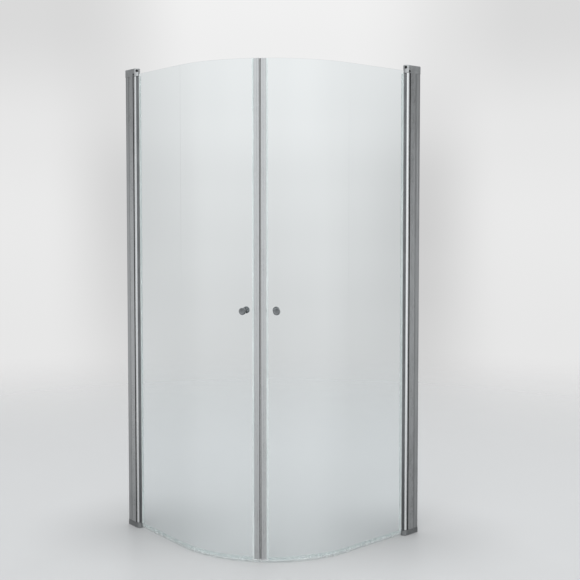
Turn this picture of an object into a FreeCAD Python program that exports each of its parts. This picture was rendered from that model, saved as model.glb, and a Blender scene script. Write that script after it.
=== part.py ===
import FreeCAD, Part
import os
import re
import Sketcher

# Quadrant shower enclosure, 900 x 900 x 2000 mm.
#
# Frame: origin at the middle of the footprint on the floor, +Z up. The room's
# corner stands at (-450, +450). The left wall is the plane X = -450 and the
# right wall is the plane Y = +450. Each wall carries a telescopic wall
# profile with an end cap above and below it; a round hinge profile turns
# between the two caps and carries one bent glass door. The doors meet on the
# diagonal plane X + Y = 0.
#
# Sections of the wall parts are given in (u, q): u is the distance out from
# the wall, q is the depth in from the outermost face of the enclosure. They
# are written for the left side; mapped() reflects them in the diagonal plane
# for the right side.

os.makedirs("parts", exist_ok=True)

V = FreeCAD.Vector
doc = FreeCAD.newDocument("quadrant_shower_enclosure")

# ---------------------------------------------------------------- dimensions
DIMENSIONS = [
    ("width", 900, "overall width along each wall, over the caps"),
    ("height", 2000, "overall height over the caps"),
    ("face_q", 1.5, "wall profile outer face, behind the cap face"),
    ("frame_depth", 27, "depth of the wall profile"),
    ("cap_depth", 30, "depth of the end caps"),
    ("cap_top_h", 33, "height of the top cap"),
    ("cap_bot_h", 22.5, "height of the bottom cap"),
    ("cap_plate", 3.2, "thickness of the caps' end plates"),
    ("cap_round", 3, "rounding round the top cap's upper edge"),
    ("nose_u", 69, "centre of the caps' rounded nose"),
    ("channel_len", 25, "how far the wall channel stands out"),
    ("channel_back", 1.8, "wall channel, thickness on the wall"),
    ("channel_wall", 1.6, "wall channel, flange thickness"),
    ("slide_gap", 0.2, "play between channel and adjusting profile"),
    ("adj_start", 7, "inner end of the adjusting profile's legs"),
    ("adj_shoulder", 27, "where the adjusting profile widens"),
    ("adj_wall", 1.6, "adjusting profile, wall thickness"),
    ("adj_tip", 58, "outer lip of the adjusting profile"),
    ("adj_end", 51, "inner lip of the adjusting profile"),
    ("wall_hole_r", 2.3, "fixing holes in the wall channel"),
    ("wall_hole_far", 850, "outer fixing holes from mid height"),
    ("wall_hole_near", 280, "inner fixing holes from mid height"),
    ("side_hole_r", 1.6, "adjuster and cap screw holes"),
    ("side_screw_u", 16, "adjuster screws from the wall"),
    ("side_screw_pitch", 800, "adjuster screw pitch"),
    ("side_screw_low", 200, "lowest adjuster screw"),
    ("cap_screw_u", 38, "cap screws from the wall"),
    ("cap_screw_low", 12.5, "lower cap screw above the floor"),
    ("cap_screw_up", 1982, "upper cap screw above the floor"),
    ("screw_head_r", 3.2, "screw head radius"),
    ("screw_head_h", 1.8, "screw head height"),
    ("screw_shank_r", 1.55, "screw shank radius"),
    ("screw_len", 6.5, "screw shank length"),
    ("pivot_u", 68, "hinge axis from the wall"),
    ("pivot_q", 14, "hinge axis behind the cap face"),
    ("pin_r", 3, "pivot pin radius"),
    ("pin_len", 44, "pivot pin length"),
    ("pin_seat", 22.5, "pin length held in the top cap"),
    ("pin_seat_low", 15.5, "pin length held in the bottom cap"),
    ("bush_bore_r", 3.05, "bearing bush bore"),
    ("bush_r", 5, "bearing bush outside"),
    ("bush_len", 24, "bearing bush length"),
    ("washer_r", 7.5, "thrust washer radius"),
    ("washer_t", 0.6, "thrust washer thickness"),
    ("nest_r", 13.4, "hollow of the adjusting profile round the hinge"),
    ("seal_r", 12.5, "inner face of the pivot seal"),
    ("seal_lip", 0.9, "thickness of the pivot seal's lip on the profile's end"),
    ("lock_u", 66, "lock screw from the wall"),
    ("lock_z", 1974, "lock screw above the floor"),
    ("lock_r", 5.2, "lock screw radius"),
    ("lock_len", 10.25, "lock screw length"),
    ("plug_turn", 62, "heading of the pivot plug from the outer face"),
    ("plug_r", 6, "pivot plug radius"),
    ("plug_z", 1989.5, "pivot plug above the floor"),
    ("plug_back", 8.5, "bottom of the plug's hole from the nose's centre"),
    ("plug_face", 14.3, "face of the plug from the nose's centre"),
    ("hinge_r", 12, "hinge profile radius"),
    ("hinge_low", 23.5, "lower end of the hinge profile"),
    ("hinge_high", 1966, "upper end of the hinge profile"),
    ("front_end", 320, "heading of the end of the hinge profile's round face"),
    ("front_lip", 1.6, "thickness of the round face at that end"),
    ("hinge_lip", 0.8, "outer lip of the hinge gasket, past the axis"),
    ("pocket_u", 74.5, "bottom of the glass pocket"),
    ("pocket_q", 24.4, "inner face of the glass pocket"),
    ("wing_u", 79, "end of the hinge profile's inner lip"),
    ("glass_off", 880, "glass middle from each wall's corner line"),
    ("glass_t", 6, "glass thickness"),
    ("bend_r", 480, "bend radius at the middle of the glass"),
    ("glass_low", 12, "lower edge of the glass"),
    ("glass_high", 1977, "upper edge of the glass"),
    ("glass_u", 78, "glass edge inside the hinge profile"),
    ("notch_u", 86, "glass edge beside the caps"),
    ("notch_low", 25.5, "top of the lower glass notch"),
    ("notch_high", 1964, "bottom of the upper glass notch"),
    ("glass_end", 13, "glass edge from the meeting line"),
    ("gasket_out", 85, "outer lip of the hinge gasket"),
    ("bead_u", 95, "edge of the clear glazing beads"),
    ("bead_t", 0.96, "thickness of the clear glazing beads"),
    ("frame_s", 20, "edge profile reference from the meeting line"),
    ("edge_half", 5, "half thickness of the edge profile"),
    ("edge_gap", 3.2, "edge profile from the meeting line"),
    ("edge_back", 24, "back of the edge profile from the meeting line"),
    ("edge_low", 16, "lower end of the edge profile"),
    ("edge_cap_t", 1.5, "thickness of the edge profile's end plates"),
    ("edge_nose_r", 2, "rounding of the edge profile's nose"),
    ("slot_half", 3.95, "half width of the glass slot"),
    ("slot_s", 11.5, "bottom of the glass slot from the meeting line"),
    ("magnet_half", 2.25, "half width of the magnet groove"),
    ("magnet_s", 8.8, "bottom of the magnet groove"),
    ("magnet_r", 2, "magnet nose radius"),
    ("magnet_tip", 0.7, "magnet nose from the meeting line"),
    ("lip_s", 31, "end of the clear edge gasket's lips"),
    ("knob_s", 63, "knob from the meeting line, along the glass"),
    ("knob_z", 999.5, "knob height"),
    ("knob_r", 14, "knob radius"),
    ("knob_len", 30, "knob length over the washer"),
    ("stud_r", 2.5, "knob stud radius"),
    ("stud_hole_r", 6, "hole in the glass"),
    ("knob_washer_r", 10, "knob washer radius"),
    ("knob_washer_t", 1.5, "knob washer thickness"),
    ("knob_lift", 0.11, "inner knob washer off the hollow of the bend"),
    ("drip_low", 3.5, "lower edge of the bottom seal's lip"),
    ("drip_web", 10.6, "underside of the bottom seal's web"),
    ("drip_arm", 23.2, "top of the bottom seal's arms"),
    ("drip_t", 1, "bottom seal wall thickness"),
    ("drip_start", 88, "bottom seal's end beside the hinge"),
    ("drip_arm_end", 31.6, "end of the seal's arms from the meeting line"),
    ("drip_web_end", 3.6, "end of the seal's web from the meeting line"),
    ("drip_lip_end", 2, "end of the seal's lip from the meeting line"),
]

sheet = doc.addObject("Spreadsheet::Sheet", "Dims")
sheet.Label = "Dims"
for row, (alias, value, note) in enumerate(DIMENSIONS, start=1):
    sheet.set("A%d" % row, alias)
    sheet.set("B%d" % row, str(value))
    sheet.setAlias("B%d" % row, alias)
    sheet.set("C%d" % row, note)
doc.recompute()

ALIASES = sorted([d[0] for d in DIMENSIONS], key=len, reverse=True)
WORD = re.compile(r"(?<![A-Za-z0-9_.])(" + "|".join(ALIASES) + r")(?![A-Za-z0-9_])")


def cell(text):
    """An expression in cell names, as the document writes it."""
    return WORD.sub(r"Dims.\1", str(text))


probe = doc.addObject("App::VarSet", "Probe")
probe.addProperty("App::PropertyFloat", "result")
KNOWN = {}


def number(text):
    """The value of such an expression."""
    if text not in KNOWN:
        probe.setExpression("result", cell(text))
        probe.recompute()
        KNOWN[text] = probe.result
    return KNOWN[text]


def bind(thing, prop, text):
    thing.setExpression(prop, cell(text))


# ---------------------------------------------------------------- reflection
def mapped(side, x, y):
    """Reflect a left-hand point in the diagonal plane for the right side."""
    if side == "left":
        return x, y
    return "-(%s)" % y, "-(%s)" % x


def wall_point(side, u, q):
    return mapped(side, "-width/2+(%s)" % u, "-width/2+(%s)" % q)


# The bend's centre is at (BEND, -BEND).
BEND = "(glass_off-bend_r-width/2)"
TURN = "180/pi/bend_r"


def bend_point(side, rho, s):
    """A point at radius rho from the bend's centre, s along the glass from
    the meeting line."""
    ang = "(45+(%s)*%s)" % (s, TURN)
    return mapped(side, "%s+(%s)*cos(%s)" % (BEND, rho, ang), "-%s-(%s)*sin(%s)" % (BEND, rho, ang))


# ------------------------------------------------------------------ sketches
def plane(body, role):
    return [f for f in body.Origin.OriginFeatures if f.Role == role][0]


def new_sketch(body, name, role="XY_Plane", lift=None):
    sk = body.newObject("Sketcher::SketchObject", name)
    sk.AttachmentSupport = [(plane(body, role), "")]
    sk.MapMode = "FlatFace"
    if lift is not None:
        bind(sk, "AttachmentOffset.Base.z", lift)
    return sk


def dimension(sk, kind, geo, point, text, name):
    i = sk.addConstraint(Sketcher.Constraint(kind, -1, 1, geo, point, number(text)))
    sk.renameConstraint(i, name)
    bind(sk, "Constraints." + name, text)


def outline(sk, corners, tag="p"):
    """A closed outline. A corner is (x, y) where a straight side leaves it,
    or (x, y, (via_x, via_y), radius) where an arc leaves it. The radius of a
    half circle is given as its centre instead, (x, y)."""
    n = len(corners)
    pts = [V(number(c[0]), number(c[1]), 0) for c in corners]
    ids = []
    for i, c in enumerate(corners):
        a, b = pts[i], pts[(i + 1) % n]
        if len(c) > 2:
            via = V(number(c[2][0]), number(c[2][1]), 0)
            ids.append(sk.addGeometry(Part.Arc(a, via, b)))
        else:
            ids.append(sk.addGeometry(Part.LineSegment(a, b)))
    ends = []
    for i, g in enumerate(ids):
        if len(corners[i]) > 2:
            # An arc of a sketch always runs anticlockwise, so its start may
            # be either end of the side.
            start = sk.getPoint(g, 1)
            flipped = (start - pts[i]).Length > (start - pts[(i + 1) % n]).Length
            ends.append((2, 1) if flipped else (1, 2))
        else:
            ends.append((1, 2))
    for i in range(n):
        j = (i + 1) % n
        sk.addConstraint(Sketcher.Constraint("Coincident", ids[i], ends[i][1], ids[j], ends[j][0]))
    for i, c in enumerate(corners):
        dimension(sk, "DistanceX", ids[i], ends[i][0], c[0], "%s_x%d" % (tag, i))
        dimension(sk, "DistanceY", ids[i], ends[i][0], c[1], "%s_y%d" % (tag, i))
        if len(c) > 2 and isinstance(c[3], tuple):
            # A half circle is held by its centre, across its chord.
            chord = pts[(i + 1) % n] - pts[i]
            if abs(chord.x) < abs(chord.y):
                dimension(sk, "DistanceX", ids[i], 3, c[3][0], "%s_m%d" % (tag, i))
            else:
                dimension(sk, "DistanceY", ids[i], 3, c[3][1], "%s_m%d" % (tag, i))
        elif len(c) > 2:
            k = sk.addConstraint(Sketcher.Constraint("Radius", ids[i], number(c[3])))
            sk.renameConstraint(k, "%s_r%d" % (tag, i))
            bind(sk, "Constraints.%s_r%d" % (tag, i), c[3])


def circle(sk, x, y, radius, tag="c"):
    g = sk.addGeometry(Part.Circle(V(number(x), number(y), 0), V(0, 0, 1), number(radius)))
    dimension(sk, "DistanceX", g, 3, x, tag + "_x")
    dimension(sk, "DistanceY", g, 3, y, tag + "_y")
    k = sk.addConstraint(Sketcher.Constraint("Radius", g, number(radius)))
    sk.renameConstraint(k, tag + "_r")
    bind(sk, "Constraints." + tag + "_r", radius)


# ------------------------------------------------------------------ features
PIECES = []


def new_body(label):
    body = doc.addObject("PartDesign::Body", label)
    body.Label = label
    PIECES.append(body)
    return body


def pad(body, sk, name, length):
    feat = body.newObject("PartDesign::Pad", name)
    feat.Profile = sk
    feat.Type = "Length"
    bind(feat, "Length", length)
    sk.Visibility = False
    doc.recompute()
    if feat.Shape.isNull():
        raise RuntimeError("%s of %s has no shape: %s" % (name, body.Label, sk.State))
    return feat


def pocket(body, sk, name, length, upward=False, symmetric=False):
    before = body.Shape.Volume
    feat = body.newObject("PartDesign::Pocket", name)
    feat.Profile = sk
    feat.Type = "Length"
    if symmetric:
        feat.SideType = "Symmetric"
    feat.Reversed = upward
    bind(feat, "Length", length)
    sk.Visibility = False
    doc.recompute()
    if not body.Shape.Volume < before - 1e-6:
        raise RuntimeError("%s cuts nothing from %s" % (name, body.Label))
    return feat


def column(label, corners, low, length, name="section"):
    """A body that is one section drawn out upwards."""
    body = new_body(label)
    sk = new_sketch(body, name, lift=low)
    outline(sk, corners)
    pad(body, sk, "extrusion", length)
    return body


def add_column(body, corners, low, length, name):
    sk = new_sketch(body, name + "_section", lift=low)
    outline(sk, corners)
    return pad(body, sk, name, length)


def drill(body, side, name, axis, spots, radius, middle, length):
    """Cross holes. axis u runs straight out of the wall, axis q runs in from
    the outer face; spots are (q or u, z) and middle is where the hole's
    length is centred."""
    if axis == "u":
        role = "YZ_Plane" if side == "left" else "XZ_Plane"
        across = "-width/2+(%s)" if side == "left" else "width/2-(%s)"
        lift = "-width/2+(%s)" if side == "left" else "-(width/2-(%s))"
    else:
        role = "XZ_Plane" if side == "left" else "YZ_Plane"
        across = "-width/2+(%s)" if side == "left" else "width/2-(%s)"
        lift = "width/2-(%s)"
    sk = new_sketch(body, name + "_spots", role, lift=lift % middle)
    for i, (a, z) in enumerate(spots):
        circle(sk, across % a, z, radius, "h%d" % i)
    return pocket(body, sk, name, length, symmetric=True)


def turned(label, profile, name="turned"):
    """A body of revolution about its own Z axis, profile in (r, z)."""
    body = new_body(label)
    sk = new_sketch(body, name + "_section", "XZ_Plane")
    outline(sk, profile)
    feat = body.newObject("PartDesign::Revolution", name)
    feat.Profile = sk
    feat.ReferenceAxis = (sk, ["V_Axis"])
    feat.Angle = 360
    sk.Visibility = False
    doc.recompute()
    return body, feat


def repeated(body, feat, role, name, pitch, count):
    """The same feature again at a fixed pitch, as separate solids."""
    pattern = body.newObject("PartDesign::LinearPattern", name)
    pattern.Originals = [feat]
    pattern.Direction = (plane(body, role), [""])
    pattern.Occurrences = count
    bind(pattern, "Length", "(%s)*%d" % (pitch, count - 1))
    body.Tip = pattern
    doc.recompute()
    if len(body.Shape.Solids) != count:
        raise RuntimeError("%s holds %d solids, not %d" % (body.Label, len(body.Shape.Solids), count))
    return pattern


def put(body, rotation, x, y, z):
    body.Placement = FreeCAD.Placement(V(0, 0, 0), rotation)
    bind(body, "Placement.Base.x", x)
    bind(body, "Placement.Base.y", y)
    bind(body, "Placement.Base.z", z)


def fillet(body, name, radius, wanted):
    """Round the edges for which wanted(edge) is true."""
    base = body.Tip
    names = ["Edge%d" % (i + 1) for i, e in enumerate(base.Shape.Edges) if wanted(e)]
    if not names:
        raise RuntimeError("no edges to round on " + body.Label)
    feat = body.newObject("PartDesign::Fillet", name)
    feat.Base = (base, names)
    bind(feat, "Radius", radius)
    doc.recompute()
    return feat


AXIS_Z = V(0, 0, 1)
AXIS_Y = V(0, 1, 0)
AXIS_X = V(1, 0, 0)


# =============================================================== wall frame
def nest_point(r, angle):
    return "pivot_u+(%s)*cos(%g)" % (r, angle), "pivot_q+(%s)*sin(%g)" % (r, angle)


def wall_frame(side):
    def P(u, q):
        return wall_point(side, u, q)

    def A(u, q, via, radius):
        return P(u, q) + (P(*via), radius)

    low = "cap_plate"
    tall = "height-2*cap_plate"
    inner = "face_q+frame_depth"

    # Wall channel: a U section screwed flat to the wall, with one fine
    # groove along its outer flange.
    channel = column(
        "wall_channel_" + side,
        [
            P("0", "face_q"),
            P("12.3", "face_q"),
            P("13", "face_q+0.6"),
            P("13.7", "face_q"),
            P("channel_len", "face_q"),
            P("channel_len", "face_q+channel_wall"),
            P("channel_back", "face_q+channel_wall"),
            P("channel_back", inner + "-channel_wall"),
            P("channel_len", inner + "-channel_wall"),
            P("channel_len", inner),
            P("0", inner),
        ],
        low,
        tall,
    )
    mid_q = "face_q+frame_depth/2"
    drill(
        channel,
        side,
        "wall_fixings",
        "u",
        [
            (mid_q, "height/2-wall_hole_far"),
            (mid_q, "height/2-wall_hole_near"),
            (mid_q, "height/2+wall_hole_near"),
            (mid_q, "height/2+wall_hole_far"),
        ],
        "wall_hole_r",
        "channel_back/2",
        "3*channel_back",
    )
    adjuster_spots = [("side_screw_u", "side_screw_low+%d*side_screw_pitch" % i) for i in range(3)]
    drill(channel, side, "adjuster_holes", "q", adjuster_spots, "side_hole_r", inner + "-channel_wall/2", "1.5*channel_wall")

    # Adjusting profile: slides in the channel to take up walls that are out
    # of true; its free end is hollowed round the hinge profile.
    leg_out = "face_q+channel_wall+slide_gap"
    leg_in = inner + "-channel_wall-slide_gap"
    nest_start = "pivot_q-sqrt(nest_r^2-(pivot_u-adj_tip)^2)"
    via = nest_point("nest_r", 205)
    adj = column(
        "adjusting_profile_" + side,
        [
            P("adj_start", leg_out),
            P("adj_shoulder", leg_out),
            P("adj_shoulder", "face_q"),
            P("adj_tip", "face_q"),
            A("adj_tip", nest_start, via, "nest_r"),
            P("pivot_u-nest_r", "pivot_q"),
            P("adj_end", "pivot_q"),
            P("adj_end", inner),
            P("adj_shoulder", inner),
            P("adj_shoulder", leg_in),
            P("adj_start", leg_in),
            P("adj_start", leg_in + "-adj_wall"),
            P("adj_shoulder+adj_wall", leg_in + "-adj_wall"),
            P("adj_shoulder+adj_wall", inner + "-adj_wall"),
            P("adj_end-adj_wall", inner + "-adj_wall"),
            P("adj_end-adj_wall", "pivot_q-1.6"),
            P("52.8", "pivot_q-1.6"),
            P("53.6", "pivot_q-7"),
            P("56", "face_q+adj_wall"),
            P("adj_shoulder+adj_wall", "face_q+adj_wall"),
            P("adj_shoulder+adj_wall", leg_out + "+adj_wall"),
            P("adj_start", leg_out + "+adj_wall"),
        ],
        low,
        tall,
    )
    drill(adj, side, "adjuster_holes", "q", adjuster_spots, "side_hole_r", leg_in + "-adj_wall/2", "1.5*adj_wall")
    drill(
        adj,
        side,
        "cap_screw_holes",
        "q",
        [("cap_screw_u", "cap_screw_low"), ("cap_screw_u", "cap_screw_up")],
        "side_hole_r",
        inner + "-adj_wall/2",
        "1.5*adj_wall",
    )

    # Pivot seal: a soft black strip that lines the hollow, with a lip over
    # the profile's end.
    s1 = nest_point("seal_r", 226)
    s3 = nest_point("nest_r", 182)
    s4 = nest_point("seal_r", 182)
    column(
        "pivot_seal_" + side,
        [
            P("adj_tip+seal_lip", "face_q+0.4"),
            P("adj_tip", "face_q+0.4"),
            A("adj_tip", nest_start, nest_point("nest_r", 206), "nest_r"),
            P(*s3),
            A(s4[0], s4[1], nest_point("seal_r", 206), "seal_r"),
            P(*s1),
        ],
        "cap_bot_h+0.5",
        "height-cap_top_h-cap_bot_h-1",
    )

    # End caps: a shell over the wall profile with a solid rounded nose that
    # holds the pivot pin.
    plan = [
        P("0", "0"),
        A("nose_u", "0", ("nose_u+cap_depth/2", "cap_depth/2"), P("nose_u", "cap_depth/2")),
        P("nose_u", "cap_depth"),
        P("0", "cap_depth"),
    ]
    c1 = nest_point("nest_r-0.2", 232)
    hollow = [
        P("-1", "face_q-0.1"),
        P("adj_tip+0.1", "face_q-0.1"),
        A(c1[0], c1[1], nest_point("nest_r-0.2", 205), "nest_r-0.2"),
        P("pivot_u-nest_r+0.2", "pivot_q"),
        P("adj_end+0.2", "pivot_q"),
        P("adj_end+0.2", inner + "+0.1"),
        P("-1", inner + "+0.1"),
    ]

    top = column("top_cap_" + side, plan, "height-cap_top_h", "cap_top_h", "plan")
    top_z = number("height")

    def top_rim(e):
        box = e.BoundBox
        if abs(box.ZMin - top_z) > 1e-4 or abs(box.ZMax - top_z) > 1e-4:
            return False
        wall = number("width") / 2
        on_wall = abs(box.XMin + wall) < 1e-3 and abs(box.XMax + wall) < 1e-3
        if side == "right":
            on_wall = abs(box.YMin - wall) < 1e-3 and abs(box.YMax - wall) < 1e-3
        return not on_wall

    fillet(top, "upper_rim", "cap_round", top_rim)
    sk = new_sketch(top, "profile_seat_plan", lift="height-cap_top_h")
    outline(sk, hollow)
    pocket(top, sk, "profile_seat", "cap_top_h-cap_plate", upward=True)
    sk = new_sketch(top, "pin_hole_plan", lift="height-cap_top_h")
    x, y = P("pivot_u", "pivot_q")
    circle(sk, x, y, "pin_r+0.02")
    pocket(top, sk, "pin_hole", "pin_seat+0.5", upward=True)
    drill(top, side, "lock_hole", "q", [("lock_u", "lock_z")], "lock_r+0.02", "0", "2*(lock_len+0.9)")
    drill(top, side, "cap_screw_hole", "q", [("cap_screw_u", "cap_screw_up")], "side_hole_r", "cap_depth", "3.4")

    # Cover plug in the nose of the top cap, turned towards the tip.
    heading = number("plug_turn-90" if side == "left" else "-plug_turn")
    facing = FreeCAD.Rotation(AXIS_Z, heading).multiply(FreeCAD.Rotation(AXIS_Y, 90))

    def off_nose(distance):
        return P("nose_u+(%s)*sin(plug_turn)" % distance, "cap_depth/2-(%s)*cos(plug_turn)" % distance)

    reach = "cap_depth/2+5"
    sk = new_sketch(top, "plug_hole_plan")
    sk.AttachmentOffset = FreeCAD.Placement(V(0, 0, 0), facing)
    for prop, text in zip("xyz", off_nose(reach) + ("plug_z",)):
        bind(sk, "AttachmentOffset.Base." + prop, text)
    circle(sk, "0", "0", "plug_r+0.02")
    pocket(top, sk, "plug_hole", reach + "-plug_back")
    body, feat = turned(
        "pivot_plug_" + side,
        [
            ("0", "plug_back+0.1"),
            ("plug_r-0.5", "plug_back+0.1"),
            ("plug_r", "plug_back+0.6"),
            ("plug_r", "plug_face-0.4"),
            ("plug_r-0.4", "plug_face"),
            ("plug_r*0.42", "plug_face+0.3"),
            ("plug_r*0.36", "plug_face-0.5"),
            ("0", "plug_face-0.5"),
        ],
    )
    put(body, facing, *off_nose("0"), "plug_z")

    bottom = column("bottom_cap_" + side, plan, "0", "cap_bot_h", "plan")

    def bottom_rim(e):
        box = e.BoundBox
        if abs(box.ZMin) > 1e-4 or abs(box.ZMax) > 1e-4:
            return False
        wall = number("width") / 2
        on_wall = abs(box.XMin + wall) < 1e-3 and abs(box.XMax + wall) < 1e-3
        if side == "right":
            on_wall = abs(box.YMin - wall) < 1e-3 and abs(box.YMax - wall) < 1e-3
        return not on_wall

    fillet(bottom, "lower_rim", "cap_round/3", bottom_rim)
    sk = new_sketch(bottom, "profile_seat_plan", lift="cap_bot_h")
    outline(sk, hollow)
    pocket(bottom, sk, "profile_seat", "cap_bot_h-cap_plate")
    sk = new_sketch(bottom, "pin_hole_plan", lift="cap_bot_h")
    circle(sk, x, y, "pin_r+0.02")
    pocket(bottom, sk, "pin_hole", "pin_seat_low+0.5")
    drill(bottom, side, "cap_screw_hole", "q", [("cap_screw_u", "cap_screw_low")], "side_hole_r", "cap_depth", "3.4")

    # Screws. In its own frame a screw points down its Z axis.
    screw = [
        ("0", "screw_head_h"),
        ("screw_head_r*0.6", "screw_head_h"),
        ("screw_head_r", "screw_head_h*0.45"),
        ("screw_head_r", "0"),
        ("screw_shank_r", "0"),
        ("screw_shank_r", "-screw_len+1.2"),
        ("0", "-screw_len"),
    ]
    # The head looks into the shower: +Y on the left side, -X on the right.
    if side == "left":
        # local X -> +Z, local Z -> +Y
        turn = FreeCAD.Rotation(AXIS_Z, V(1, 0, 0), AXIS_Y, "ZXY")
    else:
        # local X -> +Z, local Z -> -X
        turn = FreeCAD.Rotation(AXIS_Z, V(0, -1, 0), V(-1, 0, 0), "ZXY")
    body, feat = turned("adjuster_screws_" + side, screw)
    repeated(body, feat, "X_Axis", "row", "side_screw_pitch", 3)
    x, y = P("side_screw_u", inner)
    put(body, turn, x, y, "side_screw_low")
    body, feat = turned("cap_screws_" + side, screw)
    repeated(body, feat, "X_Axis", "pair", "cap_screw_up-cap_screw_low", 2)
    x, y = P("cap_screw_u", "cap_depth")
    put(body, turn, x, y, "cap_screw_low")

    # Grub screw that locks the top pin; its socket looks outwards.
    body, feat = turned(
        "lock_screw_" + side,
        [
            ("0", "-2.4"),
            ("1.5", "-2.4"),
            ("1.5", "-0.3"),
            ("lock_r-0.5", "0"),
            ("lock_r", "-0.5"),
            ("lock_r", "-lock_len+0.6"),
            ("lock_r-0.6", "-lock_len"),
            ("0", "-lock_len"),
        ],
    )
    if side == "left":
        turn = FreeCAD.Rotation(AXIS_Z, V(-1, 0, 0), V(0, -1, 0), "ZXY")
    else:
        turn = FreeCAD.Rotation(AXIS_Z, V(0, 1, 0), V(1, 0, 0), "ZXY")
    x, y = P("lock_u", "0.7")
    put(body, turn, x, y, "lock_z")

    # Pivot pins.
    pin = [
        ("0", "0"),
        ("pin_r-0.6", "0"),
        ("pin_r", "0.6"),
        ("pin_r", "pin_len-0.6"),
        ("pin_r-0.6", "pin_len"),
        ("0", "pin_len"),
    ]
    x, y = P("pivot_u", "pivot_q")
    body, feat = turned("top_pivot_pin_" + side, pin)
    put(body, FreeCAD.Rotation(), x, y, "height-cap_top_h+pin_seat-pin_len")
    body, feat = turned("bottom_pivot_pin_" + side, pin)
    put(body, FreeCAD.Rotation(), x, y, "cap_bot_h-pin_seat_low")

    # Thrust washer under the hinge profile.
    body, feat = turned(
        "thrust_washer_" + side,
        [("pin_r+0.1", "0"), ("washer_r", "0"), ("washer_r", "washer_t"), ("pin_r+0.1", "washer_t")],
    )
    put(body, FreeCAD.Rotation(), x, y, "cap_bot_h")


# ===================================================================== doors
def door(side):
    def P(u, q):
        return wall_point(side, u, q)

    def A(u, q, via, radius):
        return P(u, q) + (P(*via), radius)

    span = "hinge_high-hinge_low"
    glass_q = "(width-glass_off)"

    # Hinge profile: a round tube with a pocket for the glass edge. Its round
    # face ends at front_end, where the gasket takes over.
    def front(r, more="0"):
        turn = "(front_end+(%s))" % more
        return "pivot_u+(%s)*cos%s" % (r, turn), "pivot_q+(%s)*sin%s" % (r, turn)

    end_out = front("hinge_r")
    end_in = front("hinge_r-front_lip")
    hinge = column(
        "hinge_profile_" + side,
        [
            A("pivot_u", "pivot_q+hinge_r", nest_point("hinge_r", 205), "hinge_r"),
            P(*end_out),
            P(*end_in),
            P("pocket_u", end_in[1]),
            P("pocket_u", "pocket_q"),
            P("wing_u", "pocket_q"),
            P("wing_u", "pivot_q+hinge_r"),
        ],
        "hinge_low",
        span,
    )
    sk = new_sketch(hinge, "bore_plan", lift="hinge_low")
    x, y = P("pivot_u", "pivot_q")
    circle(sk, x, y, "bush_r+0.02")
    pocket(hinge, sk, "bore", span, upward=True)

    # Bearing bushes in both ends of the tube.
    bush = [
        ("bush_bore_r+0.5", "0"),
        ("bush_r", "0"),
        ("bush_r", "bush_len"),
        ("bush_bore_r+0.5", "bush_len"),
        ("bush_bore_r", "bush_len-0.5"),
        ("bush_bore_r", "0.5"),
    ]
    body, feat = turned("bottom_bush_" + side, bush)
    put(body, FreeCAD.Rotation(), x, y, "hinge_low")
    body, feat = turned("top_bush_" + side, bush)
    put(body, FreeCAD.Rotation(), x, y, "hinge_high-bush_len")

    # Black hinge gasket round the glass edge, flush with the round face.
    skin_out = front("hinge_r", "0.3")
    skin_in = front("hinge_r-front_lip-0.05", "0.3")
    skin_end = front("hinge_r", "30")
    g_out = glass_q + "-glass_t/2-0.02"
    g_in = glass_q + "+glass_t/2+0.02"
    column(
        "hinge_gasket_" + side,
        [
            P("pocket_u+0.05", skin_in[1]),
            P(*skin_in),
            A(skin_out[0], skin_out[1], front("hinge_r", "15"), "hinge_r"),
            P(*skin_end),
            P("gasket_out-0.6", "pivot_q+hinge_lip"),
            P("gasket_out", "pivot_q+hinge_lip+0.9"),
            P("gasket_out", g_out),
            P("glass_u-0.05", g_out),
            P("glass_u-0.05", g_in),
            P("wing_u", g_in),
            P("wing_u", "pocket_q-0.05"),
            P("pocket_u+0.05", "pocket_q-0.05"),
        ],
        "hinge_low",
        span,
    )

    # Clear glazing beads along both faces of the glass.
    beads = column(
        "glazing_beads_" + side,
        [
            P("gasket_out+0.1", g_out),
            P("gasket_out+0.1", g_out + "-bead_t"),
            P("bead_u-3", g_out + "-bead_t"),
            P("bead_u", g_out + "-0.3"),
            P("bead_u", g_out),
        ],
        "hinge_low",
        "hinge_high-hinge_low-2",
    )
    add_column(
        beads,
        [
            P("wing_u+0.1", g_in),
            P("wing_u+0.1", g_in + "+bead_t"),
            P("bead_u-3", g_in + "+bead_t"),
            P("bead_u", g_in + "+0.3"),
            P("bead_u", g_in),
        ],
        "hinge_low",
        "hinge_high-hinge_low-2",
        "inner_bead",
    )

    # Glass: flat beside the hinge, then bent to the meeting line. Its corners
    # by the hinge are notched to pass the caps.
    def strip(u_start, n_out, n_in, s_end):
        """Plan of a strip that follows the glass between two offsets from
        its middle, positive outwards."""
        half = "((45/(%s)+(%s))/2)" % (TURN, s_end)
        o = "bend_r+(%s)" % n_out
        i = "bend_r+(%s)" % n_in
        return [
            P(u_start, glass_q + "-(%s)" % n_out),
            P("glass_off-bend_r", glass_q + "-(%s)" % n_out) + (bend_point(side, o, half), o),
            bend_point(side, o, s_end),
            bend_point(side, i, s_end) + (bend_point(side, i, half), i),
            P("glass_off-bend_r", glass_q + "-(%s)" % n_in),
            P(u_start, glass_q + "-(%s)" % n_in),
        ]

    sheet_body = doc.addObject("PartDesign::Body", "glass_sheet_" + side)
    sheet_body.Label = "glass_sheet_" + side
    sk = new_sketch(sheet_body, "plan", lift="glass_low")
    outline(sk, strip("notch_u", "glass_t/2", "-glass_t/2", "glass_end"))
    pad(sheet_body, sk, "sheet", "glass_high-glass_low")
    sk = new_sketch(sheet_body, "edge_plan", lift="notch_low")
    outline(
        sk,
        [
            P("glass_u", glass_q + "-glass_t/2"),
            P("notch_u+1", glass_q + "-glass_t/2"),
            P("notch_u+1", glass_q + "+glass_t/2"),
            P("glass_u", glass_q + "+glass_t/2"),
        ],
    )
    pad(sheet_body, sk, "hinge_edge", "notch_high-notch_low")

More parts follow.
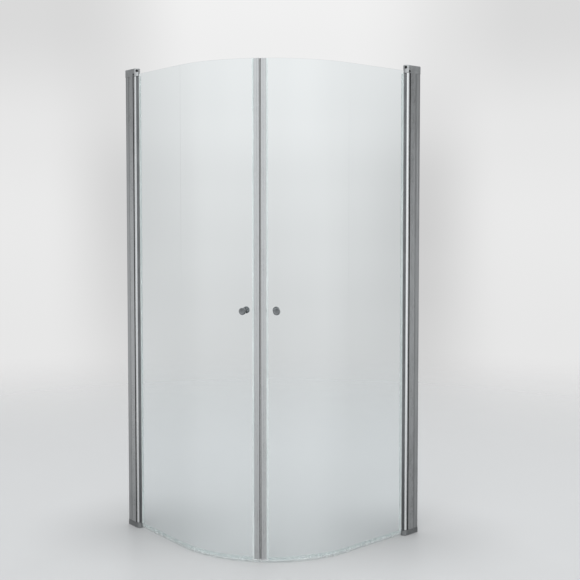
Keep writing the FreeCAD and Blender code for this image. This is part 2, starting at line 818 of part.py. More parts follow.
    kx, ky = bend_point(side, "bend_r", "knob_s")
    lean = number("45+knob_s*" + TURN)
    heading = -lean if side == "left" else lean - 90
    outward = FreeCAD.Rotation(AXIS_Z, heading).multiply(FreeCAD.Rotation(AXIS_Y, 90))
    back = FreeCAD.Rotation(AXIS_Z, heading).multiply(FreeCAD.Rotation(AXIS_Y, -90))

    def off_glass(distance):
        """A point on the knob's axis, distance outwards from the glass."""
        return bend_point(side, "bend_r+(%s)" % distance, "knob_s")

    hole = doc.addObject("Part::Cylinder", "knob_hole_" + side)
    bind(hole, "Radius", "stud_hole_r")
    bind(hole, "Height", "glass_t*3")
    hx, hy = off_glass("-glass_t*1.5")
    put(hole, outward, hx, hy, "knob_z")
    glass = doc.addObject("Part::Cut", "glass_" + side)
    glass.Label = "glass_" + side
    glass.Base = sheet_body
    glass.Tool = hole
    doc.recompute()
    PIECES.append(glass)

    # --------------------------------------------------------- closing edge
    # Sections in (x, y): x away from the meeting line, y outwards, with the
    # origin on the middle of the glass at frame_s from the meeting line.
    flip = "" if side == "left" else "-"

    def E(s, n):
        return "(%s)-frame_s" % s, "%s(%s)" % (flip, n)

    def EA(s, n, via, radius):
        return E(s, n) + (E(*via), radius)

    lean = number("45+frame_s*" + TURN)
    heading = -lean - 90 if side == "left" else lean
    along = FreeCAD.Rotation(AXIS_Z, heading)
    ex, ey = bend_point(side, "bend_r", "frame_s")
    bar_low = "edge_low+edge_cap_t"
    bar_len = "glass_high-edge_low-2*edge_cap_t"
    h, r = "edge_half", "edge_nose_r"

    body = column(
        "edge_profile_" + side,
        [
            E("edge_gap+" + r, h),
            E("edge_gap+8.6", h),
            E("edge_gap+9.2", h + "-0.55"),
            E("edge_gap+9.8", h),
            E("edge_back-1", h),
            E("edge_back", h + "-0.7"),
            E("edge_back", "slot_half"),
            E("slot_s", "slot_half"),
            E("slot_s", "-slot_half"),
            E("edge_back", "-slot_half"),
            E("edge_back", "-%s+0.7" % h),
            E("edge_back-1", "-" + h),
            EA("edge_gap+" + r, "-" + h, ("edge_gap+%s*0.293" % r, "-%s+%s*0.293" % (h, r)), r),
            E("edge_gap", "-%s+%s" % (h, r)),
            E("edge_gap", "-magnet_half"),
            E("magnet_s", "-magnet_half"),
            E("magnet_s", "magnet_half"),
            E("edge_gap", "magnet_half"),
            EA("edge_gap", "%s-%s" % (h, r), ("edge_gap+%s*0.293" % r, "%s-%s*0.293" % (h, r)), r),
        ],
        "0",
        bar_len,
    )
    put(body, along, ex, ey, bar_low)

    body = column(
        "edge_end_plates_" + side,
        [
            E("edge_gap+" + r, h),
            E("slot_s+0.4", h),
            E("slot_s+0.4", "-" + h),
            EA("edge_gap+" + r, "-" + h, ("edge_gap+%s*0.293" % r, "-%s+%s*0.293" % (h, r)), r),
            E("edge_gap", "-%s+%s" % (h, r)),
            EA("edge_gap", "%s-%s" % (h, r), ("edge_gap+%s*0.293" % r, "%s-%s*0.293" % (h, r)), r),
        ],
        "0",
        "edge_cap_t",
    )
    repeated(body, body.Tip, "Z_Axis", "pair", "glass_high-edge_low-edge_cap_t", 2)
    put(body, along, ex, ey, "edge_low")

    body = column(
        "edge_gasket_" + side,
        [
            E("slot_s+0.1", "slot_half-0.05"),
            E("lip_s-2.5", "slot_half-0.05"),
            E("lip_s", "glass_t/2+0.45"),
            E("lip_s", "glass_t/2+0.15"),
            E("slot_s+1", "glass_t/2+0.15"),
            E("slot_s+1", "-glass_t/2-0.15"),
            E("lip_s", "-glass_t/2-0.15"),
            E("lip_s", "-glass_t/2-0.45"),
            E("lip_s-2.5", "-slot_half+0.05"),
            E("slot_s+0.1", "-slot_half+0.05"),
        ],
        "0",
        bar_len,
    )
    put(body, along, ex, ey, bar_low)

    tip = "magnet_tip+magnet_r"
    body = column(
        "magnet_strip_" + side,
        [
            E("magnet_s-0.1", "magnet_half-0.05"),
            E("edge_gap+0.1", "magnet_half-0.05"),
            E("edge_gap+0.1", "magnet_r"),
            EA(tip, "magnet_r", ("magnet_tip", "0"), E(tip, "0")),
            E(tip, "-magnet_r"),
            E("edge_gap+0.1", "-magnet_r"),
            E("edge_gap+0.1", "-magnet_half+0.05"),
            E("magnet_s-0.1", "-magnet_half+0.05"),
        ],
        "0",
        bar_len,
    )
    put(body, along, ex, ey, bar_low)

    # -------------------------------------------------------- bottom seal
    seal = new_body("bottom_seal_" + side)
    half_t = "glass_t/2"
    add_column(seal, strip("drip_start", half_t + "+drip_t", "-%s-drip_t" % half_t, "drip_web_end"), "drip_web", "drip_t+0.3", "web")
    add_column(seal, strip("drip_start", half_t + "+drip_t", half_t + "+0.06", "drip_arm_end"), "drip_web", "drip_arm-drip_web", "outer_arm")
    add_column(seal, strip("drip_start", "-%s-0.06" % half_t, "-%s-drip_t" % half_t, "drip_arm_end"), "drip_web", "drip_arm-drip_web", "inner_arm")
    add_column(seal, strip("drip_start", "2.4", "0.9", "drip_lip_end"), "drip_low", "drip_web-drip_low+0.3", "lip")

    # --------------------------------------------------------------- knobs
    k = "knob_len"
    knob = [
        ("0", "12"),
        ("stud_r+0.03", "12"),
        ("stud_r+0.03", "0"),
        ("knob_r*0.62", "0"),
        ("knob_r*0.62", "1.6"),
        ("knob_r*0.46", "4.2"),
        ("knob_r*0.46", k + "*0.40"),
        ("knob_r*0.80", k + "*0.62"),
        ("knob_r*0.97", k + "*0.74"),
        ("knob_r", k + "*0.82"),
        ("knob_r", k + "-2.2"),
        ("knob_r*0.93", k + "-0.5"),
        ("knob_r*0.80", k),
        ("knob_r*0.70", k + "-0.6"),
        ("0", k + "-1.4"),
    ]
    body, feat = turned("outer_knob_" + side, knob)
    x, y = off_glass(half_t + "+knob_washer_t")
    put(body, outward, x, y, "knob_z")
    body, feat = turned("inner_knob_" + side, knob)
    x, y = off_glass("-%s-knob_washer_t-knob_lift" % half_t)
    put(body, back, x, y, "knob_z")

    body, feat = turned(
        "knob_stud_" + side,
        [("0", "-15"), ("stud_r", "-15"), ("stud_r", "15"), ("0", "15")],
    )
    x, y = off_glass("0")
    put(body, outward, x, y, "knob_z")

    body, feat = turned(
        "knob_washers_" + side,
        [
            ("stud_r+0.1", half_t),
            ("knob_washer_r-0.4", half_t),
            ("knob_washer_r", half_t + "+0.4"),
            ("knob_washer_r", half_t + "+knob_washer_t"),
            ("stud_r+0.1", half_t + "+knob_washer_t"),
        ],
    )
    repeated(body, feat, "Z_Axis", "pair", "glass_t+knob_washer_t+knob_lift", 2)
    x, y = off_glass("-glass_t-knob_washer_t-knob_lift")
    put(body, outward, x, y, "knob_z")


for side in ("left", "right"):
    wall_frame(side)
    door(side)

doc.removeObject("Probe")
doc.recompute()

# -------------------------------------------------------------------- checks
for obj in doc.Objects:
    if "Invalid" in obj.State or "Error" in obj.State:
        raise RuntimeError("%s is %s" % (obj.Label, obj.State))
    if obj.TypeId == "Sketcher::SketchObject" and obj.solve() != 0:
        raise RuntimeError("sketch %s of %s doesn't solve" % (obj.Label, obj.getParentGeoFeatureGroup().Label))
for piece in PIECES:
    shape = piece.Shape
    if shape.isNull() or not shape.isValid() or not shape.Solids or shape.Volume <= 0:
        raise RuntimeError("%s has no sound shape" % piece.Label)
    for solid in shape.Solids:
        if solid.Volume <= 0:
            raise RuntimeError("%s is inside out" % piece.Label)

box = FreeCAD.BoundBox()
for piece in PIECES:
    piece.Shape.exportStep("parts/%s.step" % piece.Label)
    box.add(piece.Shape.BoundBox)
    b = piece.Shape.BoundBox
    print("%-26s solids %d  volume %10.1f  x %.1f..%.1f  y %.1f..%.1f  z %.1f..%.1f" % (
        piece.Label, len(piece.Shape.Solids), piece.Shape.Volume, b.XMin, b.XMax, b.YMin, b.YMax, b.ZMin, b.ZMax))
print("pieces %d, box %s" % (len(PIECES), box))
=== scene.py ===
import math

import bmesh
import bpy
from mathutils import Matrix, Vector

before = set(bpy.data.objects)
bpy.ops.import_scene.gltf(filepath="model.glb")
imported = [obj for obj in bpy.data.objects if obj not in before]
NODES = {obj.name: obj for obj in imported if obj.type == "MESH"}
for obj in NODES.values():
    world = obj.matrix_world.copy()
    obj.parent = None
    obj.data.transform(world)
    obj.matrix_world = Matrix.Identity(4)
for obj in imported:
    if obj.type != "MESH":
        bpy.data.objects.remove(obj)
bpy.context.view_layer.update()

SIDES = ("left", "right")
SCENE = bpy.context.scene

# ---------------------------------------------------------------- camera

cam_data = bpy.data.cameras.new("camera")
cam = bpy.data.objects.new("camera", cam_data)
SCENE.collection.objects.link(cam)
SCENE.camera = cam
cam.location = (3.10814, -2.51750, 1.38357)
cam.rotation_euler = (math.radians(90 - 2.6608), 0.0, math.radians(49.8237))
cam_data.sensor_width = 36.0
cam_data.lens = 924.558 * 36.0 / 580.0
cam_data.shift_y = -0.06
cam_data.clip_start = 0.05
cam_data.clip_end = 200.0


# ---------------------------------------------------------------- node helpers

def tree_of(owner):
    owner.use_nodes = True
    t = owner.node_tree
    t.nodes.clear()
    return t


class Web:
    """Short names for the nodes of one tree."""

    def __init__(self, tree):
        self.t = tree

    def add(self, kind, **props):
        n = self.t.nodes.new(kind)
        for k, v in props.items():
            setattr(n, k, v)
        return n

    def link(self, a, b):
        self.t.links.new(a, b)

    def put(self, socket, value):
        if isinstance(value, bpy.types.NodeSocket):
            self.link(value, socket)
        else:
            socket.default_value = value

    def math(self, op, a, b=None, c=None, clamp=False):
        n = self.add("ShaderNodeMath", operation=op, use_clamp=clamp)
        for s, v in zip(n.inputs, (a, b, c)):
            if v is not None:
                self.put(s, v)
        return n.outputs[0]

    def span(self, value, lo, hi, to_lo, to_hi, smooth=True):
        n = self.add("ShaderNodeMapRange", interpolation_type="SMOOTHSTEP" if smooth else "LINEAR")
        self.put(n.inputs["Value"], value)
        for name, v in (("From Min", lo), ("From Max", hi), ("To Min", to_lo), ("To Max", to_hi)):
            self.put(n.inputs[name], v)
        return n.outputs["Result"]

    def dot(self, vector, axis):
        n = self.add("ShaderNodeVectorMath", operation="DOT_PRODUCT")
        self.put(n.inputs[0], vector)
        n.inputs[1].default_value = axis
        return n.outputs["Value"]

    def here(self, scale=(1, 1, 1), offset=(0, 0, 0)):
        """The place on the part in metres, which turns with its body."""
        c = self.add("ShaderNodeTexCoord")
        m = self.add("ShaderNodeMapping")
        self.link(c.outputs["Object"], m.inputs["Vector"])
        m.inputs["Scale"].default_value = scale
        m.inputs["Location"].default_value = offset
        return m.outputs["Vector"]

    def noise(self, vector, scale, detail=3.0, rough=0.55, distortion=0.0):
        n = self.add("ShaderNodeTexNoise")
        self.link(vector, n.inputs["Vector"])
        n.inputs["Scale"].default_value = scale
        n.inputs["Detail"].default_value = detail
        n.inputs["Roughness"].default_value = rough
        n.inputs["Distortion"].default_value = distortion
        return n.outputs["Fac"]

    def shade(self, value, lo, hi, dark, light):
        """A ramp from one colour to the other as value goes from lo to hi."""
        n = self.add("ShaderNodeValToRGB")
        n.color_ramp.elements[0].position = lo
        n.color_ramp.elements[0].color = (*dark, 1)
        n.color_ramp.elements[1].position = hi
        n.color_ramp.elements[1].color = (*light, 1)
        self.put(n.inputs["Fac"], value)
        return n.outputs["Color"]

    def steps(self, value, levels):
        """A smooth grey curve through (place, level) pairs."""
        n = self.add("ShaderNodeValToRGB")
        n.color_ramp.interpolation = "EASE"
        while len(n.color_ramp.elements) < len(levels):
            n.color_ramp.elements.new(0.5)
        for e, (place, level) in zip(n.color_ramp.elements, levels):
            e.position = place
            e.color = (level, level, level, 1)
        self.put(n.inputs["Fac"], value)
        return n.outputs["Color"]

    def near(self, place, spot, reach):
        """1 at spot, 0 from reach on, smooth between."""
        n = self.add("ShaderNodeVectorMath", operation="DISTANCE")
        self.link(place, n.inputs[0])
        n.inputs[1].default_value = spot
        return self.span(n.outputs["Value"], 0.0, reach, 1.0, 0.0)

    def bell(self, value, middle, half):
        """1 at middle, 0 from half on, smooth between."""
        away = self.math("ABSOLUTE", self.math("SUBTRACT", value, middle))
        return self.span(away, 0.0, half, 1.0, 0.0)

    def bump(self, height, strength, distance, normal=None):
        n = self.add("ShaderNodeBump")
        self.link(height, n.inputs["Height"])
        n.inputs["Strength"].default_value = strength
        n.inputs["Distance"].default_value = distance
        if normal is not None:
            self.link(normal, n.inputs["Normal"])
        return n.outputs["Normal"]


def rgb(r, g, b):
    """An sRGB colour of 0..255 as linear values."""
    return tuple((c / 255 / 12.92 if c / 255 <= 0.04045 else ((c / 255 + 0.055) / 1.055) ** 2.4) for c in (r, g, b))


def principled(name, **sockets):
    m = bpy.data.materials.new(name)
    w = Web(tree_of(m))
    out = w.add("ShaderNodeOutputMaterial")
    p = w.add("ShaderNodeBsdfPrincipled")
    w.link(p.outputs["BSDF"], out.inputs["Surface"])
    for k, v in sockets.items():
        p.inputs[k.replace("_", " ")].default_value = v
    return m, w, p, out


# ---------------------------------------------------------------- materials

def extruded_metal(name, dark, light, rough=0.34, draw=0.10, seed=0.0):
    """Drawn and anodised aluminium: fine lines along the profile, a slightly cloudy coat."""
    m, w, p, out = principled(name, Metallic=1.0)
    lines = w.noise(w.here((1, 1, 0.006), (seed, seed * 0.37, 0)), 1500, 4.0, 0.7)
    fine = w.noise(w.here((1, 1, 0.03), (0, seed, 0)), 5200, 2.0, 0.6)
    cloud = w.noise(w.here((1, 1, 0.35), (seed, 0, 0)), 22, 4.0, 0.6)
    mixed = w.math("ADD", w.math("MULTIPLY", lines, 0.6), w.math("MULTIPLY", cloud, 0.4))
    w.link(w.shade(mixed, 0.34, 0.66, dark, light), p.inputs["Base Color"])
    r = w.math("ADD", w.span(lines, 0.3, 0.7, rough - 0.05, rough + 0.04), w.span(cloud, 0.35, 0.65, -0.02, 0.02))
    w.link(r, p.inputs["Roughness"])
    grain = w.math("ADD", w.math("MULTIPLY", lines, 0.7), w.math("MULTIPLY", fine, 0.3))
    w.link(w.bump(grain, draw, 0.00012), p.inputs["Normal"])
    return m


def coated(name, dark, light, rough=0.40):
    """Die-cast caps with a satin finish: soft orange peel and fine flakes."""
    m, w, p, out = principled(name, Metallic=0.92)
    flakes = w.noise(w.here(), 3800, 1.0, 0.5)
    peel = w.noise(w.here(), 420, 2.0, 0.5)
    cloud = w.noise(w.here(), 60, 3.0, 0.55)
    mixed = w.math("ADD", w.math("MULTIPLY", flakes, 0.45), w.math("MULTIPLY", cloud, 0.55))
    w.link(w.shade(mixed, 0.36, 0.64, dark, light), p.inputs["Base Color"])
    w.link(w.span(cloud, 0.3, 0.7, rough - 0.04, rough + 0.05), p.inputs["Roughness"])
    w.link(w.bump(peel, 0.08, 0.0002), p.inputs["Normal"])
    return m


def rubber(name, dark, light, rough=0.62, foot=1.0):
    """Black or grey seals: fine grain and dust, and painted shade that darkens the base colour towards the floor by the
    foot factor.
    """
    m, w, p, out = principled(name, Specular_IOR_Level=0.4)
    grain = w.noise(w.here(), 2600, 3.0, 0.6)
    streak = w.noise(w.here((1, 1, 0.02)), 700, 2.0, 0.5)
    dust = w.noise(w.here((1, 1, 0.4)), 35, 4.0, 0.6)
    grain_and_dust = w.shade(w.math("ADD", w.math("MULTIPLY", grain, 0.4), w.math("MULTIPLY", dust, 0.6)), 0.38, 0.66, dark, light)
    # painted shade: below 0.6 m the base colour is multiplied down to the foot factor at the floor
    painted_floor_shade = w.add("ShaderNodeMix", data_type="RGBA", blend_type="MULTIPLY")
    painted_floor_shade.inputs["B"].default_value = (foot, foot, foot, 1)
    w.link(w.span(w.dot(w.here(), (0, 0, 1)), 0.02, 0.6, 1.0, 0.0), painted_floor_shade.inputs["Factor"])
    w.link(grain_and_dust, painted_floor_shade.inputs["A"])
    w.link(painted_floor_shade.outputs["Result"], p.inputs["Base Color"])
    w.link(w.span(dust, 0.3, 0.7, rough - 0.07, rough + 0.08), p.inputs["Roughness"])
    w.link(w.bump(w.math("ADD", w.math("MULTIPLY", grain, 0.6), w.math("MULTIPLY", streak, 0.4)), 0.25, 0.00015), p.inputs["Normal"])
    return m


def machined(name, dark, light, rough=0.24):
    """Turned stainless steel: fine rings across the axis, light smears."""
    m, w, p, out = principled(name, Metallic=1.0)
    rings = w.noise(w.here((0.25, 0.25, 1)), 4200, 2.0, 0.6)
    smear = w.noise(w.here(), 160, 4.0, 0.6)
    w.link(w.shade(w.math("ADD", w.math("MULTIPLY", rings, 0.5), w.math("MULTIPLY", smear, 0.5)), 0.36, 0.64, dark, light), p.inputs["Base Color"])
    w.link(w.span(smear, 0.3, 0.7, rough - 0.06, rough + 0.08), p.inputs["Roughness"])
    w.link(w.bump(rings, 0.12, 0.0001), p.inputs["Normal"])
    return m


def chromed(name, dark, light, rough=0.13):
    """Polished and chrome plated: nearly a mirror, with hairline wipes and faint water marks."""
    m, w, p, out = principled(name, Metallic=1.0)
    wipes = w.noise(w.here((1, 1, 0.15)), 900, 4.0, 0.7, 1.5)
    marks = w.noise(w.here(), 120, 3.0, 0.6)
    w.link(w.shade(marks, 0.35, 0.7, dark, light), p.inputs["Base Color"])
    w.link(w.math("ADD", w.span(wipes, 0.35, 0.7, rough - 0.03, rough + 0.05), w.span(marks, 0.55, 0.7, 0.0, 0.05)), p.inputs["Roughness"])
    w.link(w.bump(wipes, 0.04, 0.0001), p.inputs["Normal"])
    return m


def moulded(name, dark, light, rough=0.45):
    """Moulded nylon, slightly waxy."""
    m, w, p, out = principled(name, Subsurface_Weight=0.08)
    p.inputs["Subsurface Radius"].default_value = (0.003, 0.003, 0.003)
    grain = w.noise(w.here(), 2400, 3.0, 0.55)
    cloud = w.noise(w.here(), 140, 3.0, 0.55)
    w.link(w.shade(cloud, 0.35, 0.65, dark, light), p.inputs["Base Color"])
    w.link(w.span(grain, 0.3, 0.7, rough - 0.05, rough + 0.07), p.inputs["Roughness"])
    w.link(w.bump(grain, 0.15, 0.0001), p.inputs["Normal"])
    return m


def through_lamps(w, p, out, tint):
    """Lamps pass the clear parts, as thin glass and vinyl cast hardly any shadow."""
    ray = w.add("ShaderNodeLightPath")
    clear = w.add("ShaderNodeBsdfTransparent")
    clear.inputs["Color"].default_value = (*tint, 1)
    mix = w.add("ShaderNodeMixShader")
    w.link(ray.outputs["Is Shadow Ray"], mix.inputs[0])
    w.link(p.outputs["BSDF"], mix.inputs[1])
    w.link(clear.outputs["BSDF"], mix.inputs[2])
    w.link(mix.outputs["Shader"], out.inputs["Surface"])


def clear_vinyl(name, dark, light, rough=0.34, through=0.55, drawn=(1, 1, 0.004), lip=None):
    """Clear vinyl seals: a little milky, with streaks along their length. With lip, the part below the web is softer
    and gets a greyer base colour, painted shade for the dark line where the lip meets the floor.
    """
    m, w, p, out = principled(name, IOR=1.53, Transmission_Weight=through)
    streak = w.noise(w.here(drawn), 900, 2.0, 0.5)
    haze = w.noise(w.here((1, 1, 0.2)), 30, 3.0, 0.5)
    tone = w.shade(haze, 0.35, 0.65, dark, light)
    if lip:
        # painted shade: below 10.8 mm the base colour turns to the greyer lip tone
        low = w.add("ShaderNodeMix", data_type="RGBA")
        w.link(w.span(w.dot(w.here(), (0, 0, 1)), 0.0100, 0.0108, 1.0, 0.0), low.inputs["Factor"])
        w.link(tone, low.inputs["A"])
        w.link(w.shade(haze, 0.35, 0.65, lip, tuple(min(1.0, 1.06 * c) for c in lip)), low.inputs["B"])
        tone = low.outputs["Result"]
    w.link(tone, p.inputs["Base Color"])
    w.link(w.math("ADD", w.span(streak, 0.3, 0.7, rough - 0.05, rough + 0.06), w.span(haze, 0.4, 0.7, 0.0, 0.05)), p.inputs["Roughness"])
    w.link(w.bump(streak, 0.03, 0.00005), p.inputs["Normal"])
    through_lamps(w, p, out, (0.90, 0.92, 0.92) if lip is None else (0.74, 0.76, 0.76))
    return m


def clear_glass(name):
    """Toughened glass: clear with a cool tint, faint water film that only shows in its gloss."""
    m, w, p, out = principled(name, IOR=1.52, Transmission_Weight=1.0, Roughness=0.0)
    film = w.noise(w.here((1, 1, 0.3)), 3.0, 4.0, 0.6)
    w.link(w.shade(film, 0.3, 0.7, (0.938, 0.972, 0.980), (0.946, 0.978, 0.985)), p.inputs["Base Color"])
    roll = w.noise(w.here((1, 1, 0.6)), 1.6, 1.0, 0.4)
    w.link(w.bump(roll, 0.05, 0.0004), p.inputs["Normal"])
    through_lamps(w, p, out, (0.95, 0.965, 0.96))
    return m


# Lit and shaded copies of one anodised aluminium: painted shade on the darker wall channel, painted highlight on the
# lighter edge, adjusting and hinge profiles.
M_CHANNEL = extruded_metal("anodised_wall_channel", rgb(186, 188, 189), rgb(200, 202, 203), 0.33, 0.06, 0.11)
M_ADJUST = extruded_metal("anodised_adjusting", rgb(204, 206, 207), rgb(217, 219, 220), 0.30, 0.06, 0.23)
M_HINGE = extruded_metal("anodised_hinge", rgb(219, 221, 222), rgb(231, 233, 234), 0.26, 0.05, 0.31)
M_EDGE = extruded_metal("anodised_edge", rgb(202, 204, 205), rgb(215, 217, 218), 0.30, 0.05, 0.47)
M_CAP = coated("satin_cap", rgb(178, 180, 181), rgb(192, 194, 195), 0.40)
# painted shade: the bottom caps are a darker copy of the satin cap finish, for the shade near the floor
M_CAP_SHADED = coated("satin_cap_shaded_copy", rgb(132, 134, 135), rgb(147, 149, 150), 0.42)
M_PLATE = coated("satin_end_plate", rgb(194, 196, 197), rgb(208, 210, 211), 0.34)
M_RUBBER = rubber("black_rubber", rgb(20, 21, 22), rgb(38, 39, 41))
M_GASKET = rubber("grey_gasket", rgb(90, 92, 94), rgb(110, 112, 114), 0.55, 0.5)
M_STEEL = machined("stainless_steel", rgb(168, 168, 167), rgb(192, 192, 190))
M_PIN = machined("ground_steel", rgb(176, 177, 178), rgb(198, 199, 199), 0.18)
M_OXIDE = machined("black_oxide_steel", rgb(12, 12, 13), rgb(24, 24, 26), 0.5)
M_PLUG = moulded("black_plastic", rgb(16, 16, 17), rgb(26, 26, 28), 0.5)
M_CHROME = chromed("polished_chrome", rgb(118, 121, 123), rgb(144, 147, 149), 0.14)
M_NYLON = moulded("natural_nylon", rgb(214, 212, 204), rgb(228, 226, 219))
M_WASHER = moulded("grey_nylon", rgb(84, 86, 88), rgb(100, 102, 104))
M_VINYL = clear_vinyl("clear_vinyl", (0.78, 0.83, 0.83), (0.86, 0.90, 0.90))
# the last colour is the lip's greyer tone, painted shade along the floor line
M_DRIP = clear_vinyl("clear_drip_vinyl", (0.85, 0.89, 0.89), (0.90, 0.93, 0.93), 0.20, 0.88, (0.003, 0.003, 1), (0.76, 0.79, 0.79))
M_MAGNET = rubber("magnet_strip", rgb(72, 74, 76), rgb(90, 92, 94), 0.5, 0.25)
M_GLASS = clear_glass("toughened_glass")

FINISH = {
    "wall_channel": M_CHANNEL,
    "adjusting_profile": M_ADJUST,
    "hinge_profile": M_HINGE,
    "edge_profile": M_EDGE,
    "top_cap": M_CAP,
    "bottom_cap": M_CAP_SHADED,
    "edge_end_plates": M_PLATE,
    "pivot_seal": M_RUBBER,
    "hinge_gasket": M_GASKET,
    "adjuster_screws": M_STEEL,
    "cap_screws": M_STEEL,
    "lock_screw": M_OXIDE,
    "pivot_plug": M_PLUG,
    "top_pivot_pin": M_PIN,
    "bottom_pivot_pin": M_PIN,
    "knob_stud": M_PIN,
    "thrust_washer": M_NYLON,
    "bottom_bush": M_NYLON,
    "top_bush": M_NYLON,
    "knob_washers": M_WASHER,
    "glazing_beads": M_VINYL,
    "edge_gasket": M_VINYL,
    "bottom_seal": M_DRIP,
    "glass": M_GLASS,
    "magnet_strip": M_MAGNET,
    "outer_knob": M_CHROME,
    "inner_knob": M_CHROME,
}
for kind, finish in FINISH.items():
    for side in SIDES:
        o = NODES["%s_%s" % (kind, side)]
        o.data.materials.clear()
        o.data.materials.append(finish)


# ---------------------------------------------------------------- floor

def make_floor():
    """A pale floor that melts into the backdrop away from the part."""
    me = bpy.data.meshes.new("floor")
    bm = bmesh.new()
    rings = [0.0, 0.6, 1.2, 2.0, 3.5, 6.0, 10.0]
    rows = []
    for r in rings[1:]:
        rows.append([bm.verts.new((r * math.cos(a), r * math.sin(a), -0.0005)) for a in (math.tau * i / 64 for i in range(64))])
    centre = bm.verts.new((0, 0, -0.0005))
    for i in range(64):
        bm.faces.new((centre, rows[0][i], rows[0][(i + 1) % 64]))
    for a, b in zip(rows, rows[1:]):
        for i in range(64):
            j = (i + 1) % 64
            bm.faces.new((a[i], b[i], b[j], a[j]))
    bm.normal_update()
    bm.to_mesh(me)
    bm.free()
    o = bpy.data.objects.new("floor", me)
    SCENE.collection.objects.link(o)
    m, w, p, out = principled("pale_floor")
    p.inputs["Specular IOR Level"].default_value = 0.35
    grit = w.noise(w.here(), 160, 4.0, 0.6)
    cloud = w.noise(w.here(), 2.2, 3.0, 0.5)
    stone = w.shade(w.math("ADD", w.math("MULTIPLY", grit, 0.3), w.math("MULTIPLY", cloud, 0.7)), 0.3, 0.7, rgb(178, 179, 180), rgb(184, 185, 186))
    w.link(w.span(cloud, 0.3, 0.7, 0.42, 0.52), p.inputs["Roughness"])
    ground = w.here()
    # painted shadow: within 0.55 m of each profile's foot the floor colour is mixed up to a quarter of the way to dark
    # grey
    painted_profile_shadow = w.math("MAXIMUM", w.near(ground, (-0.41, -0.43, 0), 0.55), w.near(ground, (0.43, 0.41, 0), 0.55))
    shaded = w.add("ShaderNodeMix", data_type="RGBA")
    w.link(w.math("MULTIPLY", painted_profile_shadow, 0.24), shaded.inputs["Factor"])
    w.link(stone, shaded.inputs["A"])
    shaded.inputs["B"].default_value = (*rgb(96, 97, 98), 1)
    w.link(shaded.outputs["Result"], p.inputs["Base Color"])
    w.link(w.bump(grit, 0.05, 0.0005), p.inputs["Normal"])
    flat = w.add("ShaderNodeVectorMath", operation="LENGTH")
    w.link(w.here((1, 1, 0)), flat.inputs[0])
    gone = w.span(flat.outputs["Value"], 1.0, 5.5, 0.0, 1.0)
    none = w.add("ShaderNodeBsdfTransparent")
    mix = w.add("ShaderNodeMixShader")
    w.link(gone, mix.inputs[0])
    w.link(p.outputs["BSDF"], mix.inputs[1])
    w.link(none.outputs["BSDF"], mix.inputs[2])
    w.link(mix.outputs["Shader"], out.inputs["Surface"])
    me.materials.append(m)
    o.visible_glossy = False
    return o


make_floor()

# ---------------------------------------------------------------- studio

FRONT = (0.764, -0.645, 0.0)
RIGHT = (0.645, 0.764, 0.0)
# brightness of the studio, as (place, level) steps
RING = ((0.0, 0.86), (0.05, 1.02), (0.14, 1.0), (0.28, 0.84), (0.42, 0.88), (0.55, 0.86), (0.72, 1.22), (0.9, 1.42), (0.96, 1.0), (1.0, 0.50))
TURN = ((0.0, 0.95), (0.2, 0.85), (0.34, 0.52), (0.5, 0.70), (0.62, 1.0), (1.0, 1.0))
RISE = ((0.0, 0.45), (0.12, 0.55), (0.17, 0.86), (0.3, 0.98), (0.4, 1.08), (0.6, 1.25), (1.0, 1.3))
STRIP = ((0.0, 0.40), (0.10, 0.32), (0.2, 0.86), (0.27, 1.05), (0.34, 0.9), (0.42, 0.45), (0.6, 0.34), (1.0, 0.7))
WALL = ((0.0, 0.66), (0.25, 0.72), (0.36, 0.80), (0.5, 0.82), (0.58, 0.80), (0.70, 0.70), (1.0, 0.66))
CORE = ((0.0, 0.62), (0.25, 0.64), (0.33, 0.65), (0.40, 0.67), (0.46, 0.71), (0.53, 0.755), (0.60, 0.83), (0.66, 0.86), (0.74, 0.885), (1.0, 0.90))


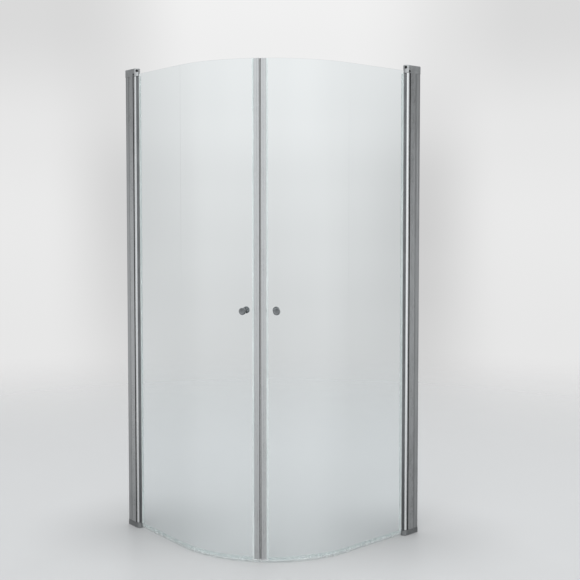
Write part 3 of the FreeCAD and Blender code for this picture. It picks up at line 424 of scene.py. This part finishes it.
def make_world():
    world = bpy.data.worlds.new("studio")
    SCENE.world = world
    w = Web(tree_of(world))
    out = w.add("ShaderNodeOutputWorld")
    way = w.add("ShaderNodeTexCoord").outputs["Generated"]
    up = w.dot(way, (0, 0, 1))
    front = w.dot(way, FRONT)
    side = w.dot(way, RIGHT)
    # what the part's gloss and the room's soft light see
    soft = w.add("ShaderNodeBackground")
    level = w.span(up, -0.15, 0.75, 0.62, 1.35)
    wing = w.math("ABSOLUTE", side)
    dim = w.span(wing, 0.35, 1.0, 1.0, 0.62)
    ahead = w.span(front, -1.0, 1.0, 0.85, 1.12)
    amount = w.math("MULTIPLY", w.math("MULTIPLY", level, dim), ahead)
    w.link(amount, soft.inputs["Strength"])
    soft.inputs["Color"].default_value = (0.985, 0.995, 1.0, 1)
    # what the part's gloss mirrors: brightest in front to the right, strips at the sides that fade up and down
    sheen = w.add("ShaderNodeBackground")
    ring = w.steps(w.span(side, -1.0, 1.0, 0.0, 1.0, False), RING)
    rise = w.steps(w.span(up, -0.5, 1.0, 0.0, 1.0, False), RISE)
    strip = w.steps(w.span(up, -0.5, 1.0, 0.0, 1.0, False), STRIP)
    flank = w.span(wing, 0.5, 0.92, 0.0, 1.0)
    tall = w.math("ADD", w.math("MULTIPLY", rise, w.math("SUBTRACT", 1.0, flank)), w.math("MULTIPLY", strip, flank))
    turn = w.steps(w.span(front, -1.0, 1.0, 0.0, 1.0, False), TURN)
    low_right = w.math("MULTIPLY", w.span(side, 0.6, 0.95, 0.0, 0.30), w.span(up, -0.30, -0.12, 1.0, 0.0))
    w.link(w.math("MULTIPLY", w.math("MULTIPLY", w.math("MULTIPLY", ring, turn), tall), w.math("SUBTRACT", 1.0, low_right)), sheen.inputs["Strength"])
    sheen.inputs["Color"].default_value = (0.975, 0.99, 1.0, 1)
    # what is seen behind the part: a backdrop with painted shade, darker towards the floor and in soft bands beside
    # each profile
    seen = w.add("ShaderNodeBackground")
    tall = w.span(up, -0.5, 0.5, 0.0, 1.0, False)
    flat = w.span(wing, 0.10, 0.24, 0.0, 1.0)
    lift = w.math("ADD", w.math("MULTIPLY", w.steps(tall, CORE), w.math("SUBTRACT", 1.0, flat)), w.math("MULTIPLY", w.steps(tall, WALL), flat))
    # painted shadow: a soft dark band beside each profile, low down and ahead of the camera
    painted_backdrop_shade = w.math("MAXIMUM", w.bell(side, -0.174, 0.085), w.bell(side, 0.140, 0.080))
    painted_backdrop_shade = w.math("MULTIPLY", w.math("MULTIPLY", painted_backdrop_shade, w.span(front, -0.9, -0.6, 1.0, 0.0)), w.span(up, 0.0, 0.18, 0.18, 0.05))
    painted_backdrop_shade = w.math("MULTIPLY", painted_backdrop_shade, w.span(up, -0.26, 0.04, 0.0, 1.0))
    tone = w.math("MULTIPLY", lift, w.math("SUBTRACT", 1.0, painted_backdrop_shade))
    w.link(tone, seen.inputs["Strength"])
    seen.inputs["Color"].default_value = (1.0, 1.0, 1.0, 1)
    ray = w.add("ShaderNodeLightPath")
    direct = w.math("MAXIMUM", ray.outputs["Is Camera Ray"], ray.outputs["Is Transmission Ray"])
    gloss = w.add("ShaderNodeMixShader")
    w.link(ray.outputs["Is Glossy Ray"], gloss.inputs[0])
    w.link(soft.outputs["Background"], gloss.inputs[1])
    w.link(sheen.outputs["Background"], gloss.inputs[2])
    mix = w.add("ShaderNodeMixShader")
    w.link(direct, mix.inputs[0])
    w.link(gloss.outputs["Shader"], mix.inputs[1])
    w.link(seen.outputs["Background"], mix.inputs[2])
    w.link(mix.outputs["Shader"], out.inputs["Surface"])


make_world()


def lamp(name, place, target, size, power, tint=(1, 1, 1), in_gloss=True):
    d = bpy.data.lights.new(name, "AREA")
    d.shape = "RECTANGLE"
    d.size, d.size_y = size
    d.energy = power
    d.color = tint
    o = bpy.data.objects.new(name, d)
    SCENE.collection.objects.link(o)
    o.location = place
    o.rotation_euler = (Vector(target) - Vector(place)).to_track_quat("-Z", "Y").to_euler()
    o.visible_glossy = in_gloss
    o.visible_camera = False
    o.visible_transmission = False
    return o


lamp("overhead", (0.3, -0.3, 4.2), (0, 0, 0), (3.4, 3.4), 60, (1, 1, 1), False)
lamp("key", (2.6, -3.4, 3.4), (0, 0, 0.9), (2.2, 2.2), 45, (1, 0.995, 0.98), False)

SCENE.view_settings.view_transform = "Standard"
SCENE.view_settings.look = "None"
